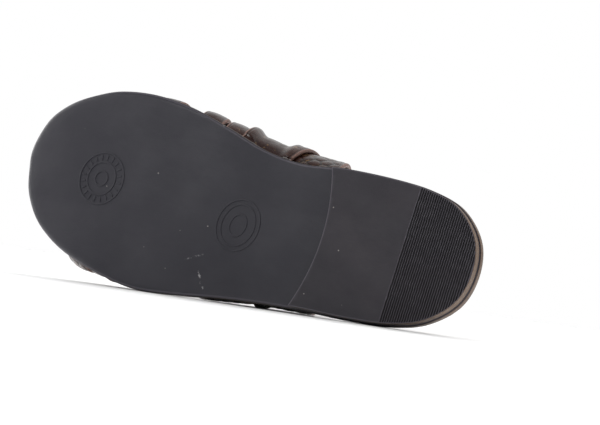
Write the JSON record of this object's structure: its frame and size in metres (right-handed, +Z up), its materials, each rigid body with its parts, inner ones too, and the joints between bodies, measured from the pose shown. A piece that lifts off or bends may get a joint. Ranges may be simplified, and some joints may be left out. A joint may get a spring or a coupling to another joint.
{
  "type": "slide sandal",
  "caption": "Right-foot slide sandal of crossed leather bands over a leather footbed, with a rubber outsole and heel lift, lying on its outer side.",
  "frame": {"origin": "on the floor under the middle of the whole sandal's box as it lies on its outer side", "axes": "+Z up from the floor; -Y the way the tread faces, leaning back about 7 degrees; -X towards the toe"},
  "size_m": [0.29, 0.0878, 0.1121],
  "materials": {
    "sole_rubber": "matt, faintly polished by moulding",
    "lift_rubber": "matt, finely ribbed at the back",
    "footbed_leather": "smooth semi-gloss",
    "strap_leather": "scale-embossed patent gloss"
  },
  "bodies": {
    "root": {"outsole": "sole_rubber", "heel_lift": "lift_rubber", "footbed": "footbed_leather", "upper": "strap_leather"}
  },
  "joints": []
}
